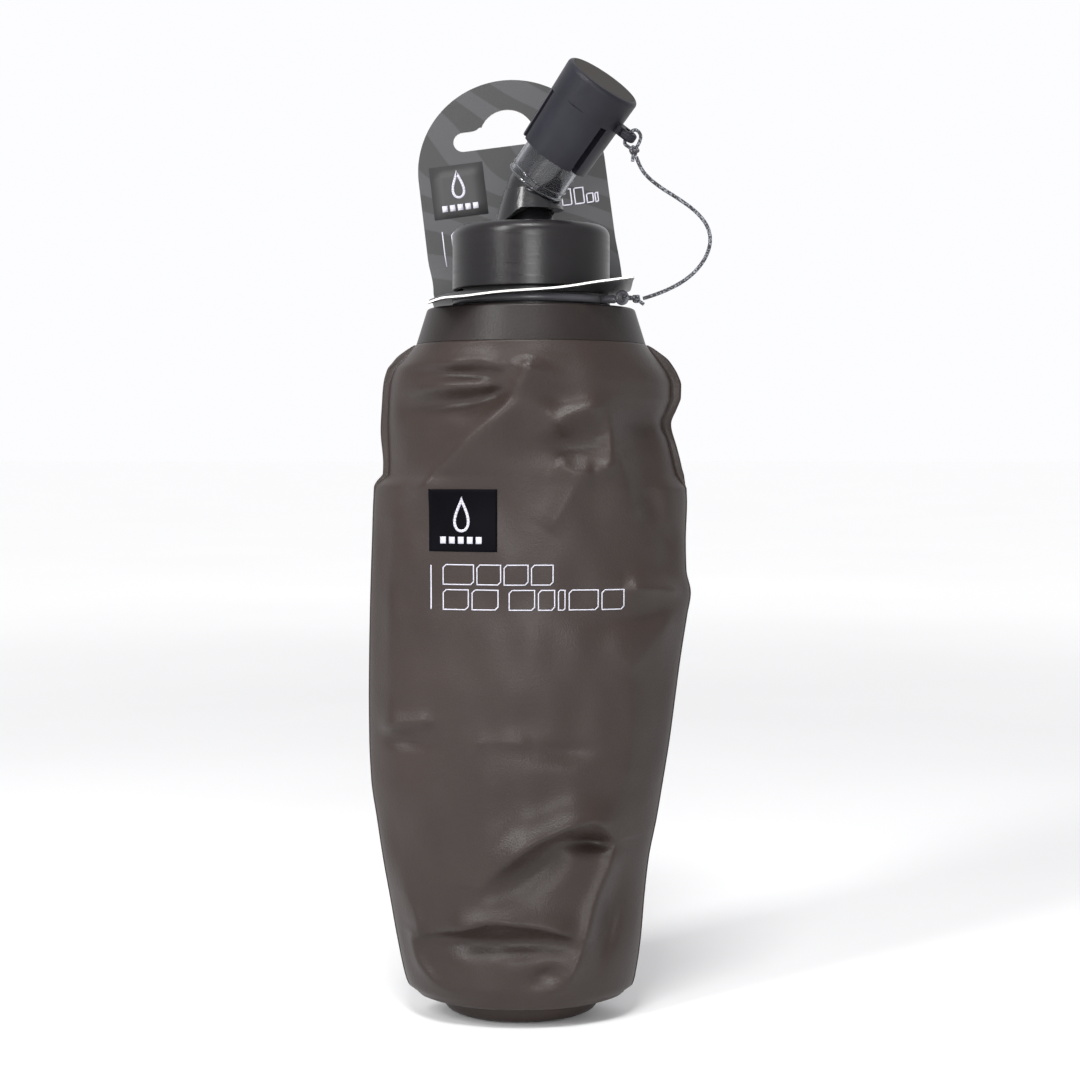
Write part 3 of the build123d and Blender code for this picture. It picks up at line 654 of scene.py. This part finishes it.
def hollow_height(x, z, hollows):
    """Height of soft oval hollows and swells."""
    total = np.zeros_like(x)
    for (cx, cz), (rx, rz), turn, depth in hollows:
        c, s = math.cos(math.radians(turn)), math.sin(math.radians(turn))
        u = (x - cx) * c + (z - cz) * s
        v = -(x - cx) * s + (z - cz) * c
        total += depth * np.exp(-((u / rx) ** 2 + (v / rz) ** 2))
    return total


def slack(x, z, phase):
    """Small uneven waves of slack film."""
    total = np.zeros_like(x)
    for i in range(SLACK_WAVES):
        turn = 2.4 * i + phase
        length = 13.0 + 5.5 * ((i * 7) % 5)
        kx, kz = math.cos(turn) / length, math.sin(turn) / length
        warp = 1.7 * np.sin(x / 23.0 + i + phase) + 1.3 * np.sin(z / 19.0 - 1.7 * i)
        total += (0.10 + 0.012 * length) * np.sin(2 * math.pi * (kx * x + kz * z) + warp + i * 1.9)
    return SLACK_SHARE * total


def film_rows():
    """The film's rows: their heights, x across them, and y of the front and the back."""
    heights = BAG_TOP - (BAG_TOP - BAG_LOW) * np.linspace(0, 1, ROWS)
    share = -np.cos(np.linspace(0, math.pi, COLUMNS))
    left, right = through(LEFT_EDGE, heights), through(RIGHT_EDGE, heights)
    depth, flat = through(DEPTH, heights), through(FLATNESS, heights)
    middle, half = (left + right) / 2, (right - left) / 2
    x = middle[:, None] + half[:, None] * share[None, :]
    bend = 2.0 + 0.25 * flat[:, None]
    power = 0.5 + 0.22 * flat[:, None]
    bulge = (1 - np.abs(share[None, :]) ** bend) ** power
    z = np.repeat(heights[:, None], COLUMNS, axis=1)
    window = ease((1 - np.abs(share[None, :])) / 0.16) * ease((BAG_TOP - z) / 7.0) * ease((z - BAG_LOW) / 5.0)
    front = crease_height(x, z, FRONT_CREASES) + hollow_height(x, z, FRONT_HOLLOWS) + slack(x, z, 0.3)
    back = crease_height(x, z, BACK_CREASES) + hollow_height(x, z, BACK_HOLLOWS) + slack(x, z, 2.1)
    y_front = -(depth[:, None] * bulge + window * front) - SEAM_HALF * (1 - bulge)
    y_back = depth[:, None] * bulge + window * back + SEAM_HALF * (1 - bulge)
    return heights, x, y_front, y_back


def weld_fin(edge, wide, way, wave, height):
    """Points out along one weld fin, round its rim and back: way is 1 on the right and -1 on the left."""
    out = [(edge + way * wide * t, wave * t * t * wide / 3.0 - way * side * SEAM_HALF, height)
           for t, side in FIN_STEPS]
    rim = [(edge + way * wide, wave * wide / 3.0, height)]
    home = [(px, py + way * 2 * SEAM_HALF * side, height)
            for (px, py, _), (_, side) in zip(reversed(out), reversed(FIN_STEPS))]
    return out + rim + home


def make_bag():
    heights, x, y_front, y_back = film_rows()
    left_fin, right_fin = through(LEFT_FIN, heights), through(RIGHT_FIN, heights)
    ripple = FIN_WAVE * np.sin(heights / FIN_WAVE_LENGTH) * ease((heights - FIN_LOW) / 6.0)
    rings = []
    for row, height in enumerate(heights):
        front = [(x[row, c], y_front[row, c], height) for c in range(COLUMNS)]
        back = [(x[row, c], y_back[row, c], height) for c in range(COLUMNS)]
        right = weld_fin(x[row, -1], right_fin[row], 1, ripple[row], height)
        left = weld_fin(x[row, 0], left_fin[row], -1, ripple[row], height)
        rings.append(front + right + back[::-1] + left)
    count = len(rings[0])
    # The film turns in under the collar, and in to the foot at the base.
    base = rings[-1]
    cx = sum(p[0] for p in base) / count
    for drop, shrink in FOOT_RINGS:
        rings.append([(cx + (px - cx) * shrink, py * shrink, BAG_LOW - drop) for px, py, _ in base])
    points = [(px * MM, py * MM, pz * MM) for ring in rings for px, py, pz in ring]
    faces = []
    for row in range(len(rings) - 1):
        for c in range(count):
            n = (c + 1) % count
            faces.append((row * count + c, (row + 1) * count + c, (row + 1) * count + n, row * count + n))
    low = (len(rings) - 1) * count
    points.append((cx * MM, 0.0, (BAG_LOW - FOOT_DROP) * MM))
    faces += [(low + (c + 1) % count, low + c, len(points) - 1) for c in range(count)]
    lip = len(points)
    points += [(px * LIP_SHARE, py * LIP_SHARE, pz - LIP_DROP) for px, py, pz in points[:count]]
    faces += [(c, (c + 1) % count, lip + (c + 1) % count, lip + c) for c in range(count)]
    bag = new_object("film_bag", points, faces)
    recalculate(bag)
    bag.data.materials.append(MATERIALS["film"])
    return bag


bag = make_bag()
bag_surface = BVHTree.FromObject(bag, bpy.context.evaluated_depsgraph_get())


# ---------------------------------------------------------------- prints on the film
INK = 0.00005
PRINT_LIFT, MARK_LIFT = 0.12, 0.22
MITRE_LEAST = 0.4
# Plain blocks on the bag, in mm: foot of each row, and the left edge and width of its blocks.
BAG_BLOCKS = {
    118.2: ((-22.9, 8.0), (-14.0, 6.2), (-6.9, 6.2), (0.2, 5.6)),
    111.6: ((-22.9, 6.6), (-15.3, 6.8), (-5.6, 6.6), (2.0, 4.2), (7.2, 1.7), (10.0, 7.6), (18.6, 5.8)),
}
BLOCK_HIGH, BLOCK_LINE = 5.2, 0.29


def on_film(x, z, lift):
    """The point of the film's front over (x, z) in mm, lifted off it along its normal."""
    hit, normal, _, _ = bag_surface.ray_cast(Vector((x * MM, -0.2, z * MM)), Vector((0, 1, 0)))
    if normal.y > 0:
        normal = -normal
    return hit + normal * lift * MM


def grid_patch(points, faces, corner_a, corner_b, place, lift, step=0.8):
    """A rectangle between two corners that hugs its surface, as a fine grid."""
    (x0, z0), (x1, z1) = corner_a, corner_b
    across = max(1, math.ceil(abs(x1 - x0) / step))
    up = max(1, math.ceil(abs(z1 - z0) / step))
    first = len(points)
    for j in range(up + 1):
        for i in range(across + 1):
            points.append(place(x0 + (x1 - x0) * i / across, z0 + (z1 - z0) * j / up, lift))
    for j in range(up):
        for i in range(across):
            a = first + j * (across + 1) + i
            faces.append((a, a + 1, a + across + 2, a + across + 1))


def stroke(points, faces, path, width, place, lift, step=0.5):
    """A flat line of one width round a closed path of (x, z) points, mitred at its corners."""
    count = len(path)
    corners = [Vector(corner) for corner in path]
    offsets = []
    for i in range(count):
        ways = [(b - a).normalized() for a, b in ((corners[i - 1], corners[i]),
                                                  (corners[i], corners[(i + 1) % count]))]
        normals = [Vector((-w.y, w.x)) for w in ways]
        mitre = (normals[0] + normals[1]).normalized()
        offsets.append(mitre * (width / 2) / max(MITRE_LEAST, mitre.dot(normals[0])))
    for i in range(count):
        n = (i + 1) % count
        a, b = corners[i], corners[n]
        pieces = max(1, math.ceil((b - a).length / step))
        first = len(points)
        for k in range(pieces + 1):
            t = k / pieces
            middle, side = a.lerp(b, t), offsets[i].lerp(offsets[n], t)
            points.append(place(*(middle + side), lift))
            points.append(place(*(middle - side), lift))
        for k in range(pieces):
            s = first + 2 * k
            faces.append((s, s + 1, s + 3, s + 2))


def cut_block(x, z, wide, high, nick):
    """Outline of a plain block with two cut corners."""
    outline = [(0, 0), (wide - nick, 0), (wide, nick), (wide, high), (nick, high), (0, high - nick)]
    return [(x + px, z + pz) for px, pz in outline]


def drop_outline(x, z, size, count=28):
    """A plain water drop, point up."""
    outline = []
    for i in range(count):
        t = 2 * math.pi * i / count
        outline.append((x + size * 0.62 * math.sin(t) * math.sin(t / 2) ** 1.4, z + size * math.cos(t)))
    return outline


def row_of_squares(points, faces, x, z, gap, size, place, lift, step=0.8):
    """Five small squares in a row."""
    wide, high = size
    for i in range(5):
        left = x + gap * i
        grid_patch(points, faces, (left, z), (left + wide, z + high), place, lift, step)


def print_piece(name, points, faces, finish, body):
    """A thin layer of ink that rides a body."""
    made = new_object(name, points, faces)
    recalculate(made)
    made.data.materials.append(MATERIALS[finish])
    ink = made.modifiers.new("ink", "SOLIDIFY")
    ink.thickness = INK
    ink.offset = 0.0
    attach(made, body)


def make_bag_prints():
    points, faces = [], []
    grid_patch(points, faces, (-26.6, 126.8), (-8.7, 143.1), on_film, PRINT_LIFT)
    print_piece("bag_patch", points, faces, "print_dark", "bottle")
    points, faces = [], []
    stroke(points, faces, drop_outline(-18.0, 136.3, 4.1), 0.7, on_film, MARK_LIFT)
    row_of_squares(points, faces, -23.6, 128.9, 2.35, (1.5, 1.8), on_film, MARK_LIFT)
    print_piece("bag_patch_mark", points, faces, "print_light", "bottle")
    points, faces = [], []
    grid_patch(points, faces, (-26.3, 111.6), (-25.95, 123.2), on_film, PRINT_LIFT)
    for foot, blocks in BAG_BLOCKS.items():
        for x, wide in blocks:
            nick = 0.8 if wide > 2 else 0.4
            stroke(points, faces, cut_block(x, foot, wide, BLOCK_HIGH, nick), BLOCK_LINE, on_film, PRINT_LIFT)
    print_piece("bag_blocks", points, faces, "print_light", "bottle")


make_bag_prints()
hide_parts("bag_front_upper", "bag_back_upper", "bag_front_lower", "bag_back_lower", "base_gusset")
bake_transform(bag)


# ---------------------------------------------------------------- hang tag
# Sizes in mm. The collar is the card round the neck, and the panel stands up from its crease.
CARD = 0.5
CARD_HALF = 26.7
COLLAR_BASE = 194.62
COLLAR_FRONT, COLLAR_BACK = -27.0, 27.5
COLLAR_CORNER = 2.5
# How far the card round the neck tips up to its right, and rises to its crease.
COLLAR_TIP = 0.107
COLLAR_LIFT = 0.4
CREASE_SIDE = 0.9
CREASE = Vector((-CREASE_SIDE, COLLAR_BACK, 195.1))
ROLL = math.radians(7.2)
LEAN = math.radians(10.0)
ROLL_RISE = 16.0
PANEL_CURL = 0.0012
NECK_HOLE_R = 19.9
PANEL_FOOT, PANEL_STRAIGHT = 0.15, 38.5
SLOT_RISE, SLOT_HALF, SLOT_END_R, LOBE_R, LOBE_BLEND = 48.5, 15.5, 2.8, 7.9, 2.6
AROUND = 240
BANDS = 16


def panel_place(u, v, out):
    """A place on the standing card: across, up from the crease, and out of its back.

    The card leans to one side above its crease, which stays straight along the fold.
    """
    flat = Matrix.Rotation(-LEAN, 3, "X") @ Vector((u, out, v))
    flat = Matrix.Rotation(-ROLL * ease(v / ROLL_RISE), 3, "Y") @ flat
    curl = PANEL_CURL * u * u * min(1.0, v / 30.0)
    return (CREASE + flat + Vector((0, curl, 0))) * MM


def collar_place(x, y, out):
    """A place on the card round the neck, which tips up on its right and down on its left."""
    tip = ease((math.hypot(x, y) - 20.5) / 12.0)
    front = ease((-y - 10) / 17.0)
    droop = ease((-x - 22) / 5.0)
    back = ease((y - 20) / 7.5)
    rise = COLLAR_TIP * x * tip * (1 - back)
    sag = front * (0.3 * (x / 23) ** 2 - 0.45 - 0.9 * droop)
    height = COLLAR_BASE + rise + sag + COLLAR_LIFT * back
    return Vector((x - CREASE_SIDE * back, y, height + out)) * MM


def ring_card(name, outer, inner, place, finishes, body, node):
    """Card between two closed outlines: its front, its back and its cut edges, each with its finish."""
    count = len(outer)
    points, faces, slots = [], [], []
    for side in (0, 1):
        for band in range(BANDS + 1):
            t = band / BANDS
            for (ax, ay), (bx, by) in zip(outer, inner):
                points.append(place(ax + (bx - ax) * t, ay + (by - ay) * t, side * CARD))
    layer = (BANDS + 1) * count
    for side in (0, 1):
        for band in range(BANDS):
            for c in range(count):
                a = side * layer + band * count + c
                b = side * layer + band * count + (c + 1) % count
                faces.append((a, b, b + count, a + count) if side else (a, a + count, b + count, b))
                slots.append(side)
    for band in (0, BANDS):
        for c in range(count):
            a, b = band * count + c, band * count + (c + 1) % count
            faces.append((a, b, b + layer, a + layer))
            slots.append(2)
    card = new_object(name, points, faces, smooth=False)
    for finish in finishes:
        card.data.materials.append(MATERIALS[finish])
    card.data.polygons.foreach_set("material_index", slots)
    recalculate(card)
    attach(card, body)
    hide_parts(node)


def ray_to(outline_test, centre, turn, far):
    """Distance from centre along a direction to where outline_test stops being true."""
    near_r, far_r = 0.0, far
    for _ in range(40):
        middle = (near_r + far_r) / 2
        if outline_test(centre[0] + middle * math.cos(turn), centre[1] + middle * math.sin(turn)):
            near_r = middle
        else:
            far_r = middle
    return near_r


def outline_about(outline_test, centre, far):
    """The edge of a shape as seen all round from a centre inside it."""
    turns = [2 * math.pi * i / AROUND for i in range(AROUND)]
    reach = [ray_to(outline_test, centre, t, far) for t in turns]
    return [(centre[0] + r * math.cos(t), centre[1] + r * math.sin(t)) for r, t in zip(reach, turns)]


def in_panel(u, v):
    if v < PANEL_FOOT or abs(u) > CARD_HALF:
        return False
    return v <= PANEL_STRAIGHT or math.hypot(u, v - PANEL_STRAIGHT) <= CARD_HALF


def in_slot(u, v):
    high = v - SLOT_RISE
    straight = SLOT_HALF - SLOT_END_R
    if math.hypot(max(0.0, abs(u) - straight), high) <= SLOT_END_R:
        return True
    if high < 0:
        return False
    if math.hypot(u, high) <= LOBE_R:
        return True
    # The round lobe meets the slot's flat top in a small hollow curve.
    past = abs(u) - math.sqrt(max(0.0, LOBE_R ** 2 - SLOT_END_R ** 2))
    return 0 <= past < LOBE_BLEND and high < SLOT_END_R + (LOBE_BLEND - past) ** 2 / (2.4 * LOBE_BLEND)


def in_collar(x, y):
    if y > COLLAR_BACK or y < COLLAR_FRONT or abs(x) > CARD_HALF:
        return False
    dx, dy = abs(x) - (CARD_HALF - COLLAR_CORNER), COLLAR_FRONT + COLLAR_CORNER - y
    return not (dx > 0 and dy > 0 and math.hypot(dx, dy) > COLLAR_CORNER)


def in_neck_hole(x, y):
    return math.hypot(x, y) <= NECK_HOLE_R


ring_card("tag_panel", outline_about(in_panel, (0.0, SLOT_RISE), 80.0),
          outline_about(in_slot, (0.0, SLOT_RISE), 30.0), panel_place,
          ("card", "card_under", "card_core"), "tag", "hang_tag_panel")
ring_card("tag_collar", outline_about(in_collar, (0.0, 0.0), 60.0),
          outline_about(in_neck_hole, (0.0, 0.0), 40.0), collar_place,
          ("card_under", "card", "card_core"), "bottle", "hang_tag_collar")


def on_panel(u, v, lift):
    """A place just before the panel's front."""
    return panel_place(u, v, -lift)


# Blocks on the card, in mm: left edge, foot, width, height, cut corner and line width.
TAG_BLOCKS = [(x, 18.6, wide, 4.2, 0.9, 0.3)
              for x, wide in ((-19.2, 4.0), (-14.2, 3.2), (-10.0, 3.4), (-5.6, 3.2))]
TAG_BLOCKS += [(x, 26.4, 2.6, 4.6, 0.3, 0.35) for x in (9.6, 13.2, 16.8)]
TAG_BLOCKS += [(20.2, 26.4, 1.8, 2.6, 0.3, 0.35), (22.6, 26.4, 0.8, 2.6, 0.3, 0.35)]
TAG_LIFT, TAG_MARK_LIFT = 0.04, 0.08


def make_tag_prints():
    points, faces = [], []
    grid_patch(points, faces, (-23.4, 26.8), (-8.0, 42.2), on_panel, TAG_LIFT, step=4.0)
    print_piece("tag_patch", points, faces, "print_grey", "tag")
    points, faces = [], []
    stroke(points, faces, drop_outline(-15.7, 36.2, 3.6), 0.7, on_panel, TAG_MARK_LIFT)
    row_of_squares(points, faces, -20.9, 28.8, 2.2, (1.5, 1.8), on_panel, TAG_MARK_LIFT, step=2.0)
    grid_patch(points, faces, (-21.9, 12.6), (-21.6, 23.2), on_panel, TAG_LIFT, step=4.0)
    for x, foot, wide, high, nick, line in TAG_BLOCKS:
        stroke(points, faces, cut_block(x, foot, wide, high, nick), line, on_panel, TAG_LIFT)
    print_piece("tag_marks", points, faces, "print_light", "tag")


make_tag_prints()
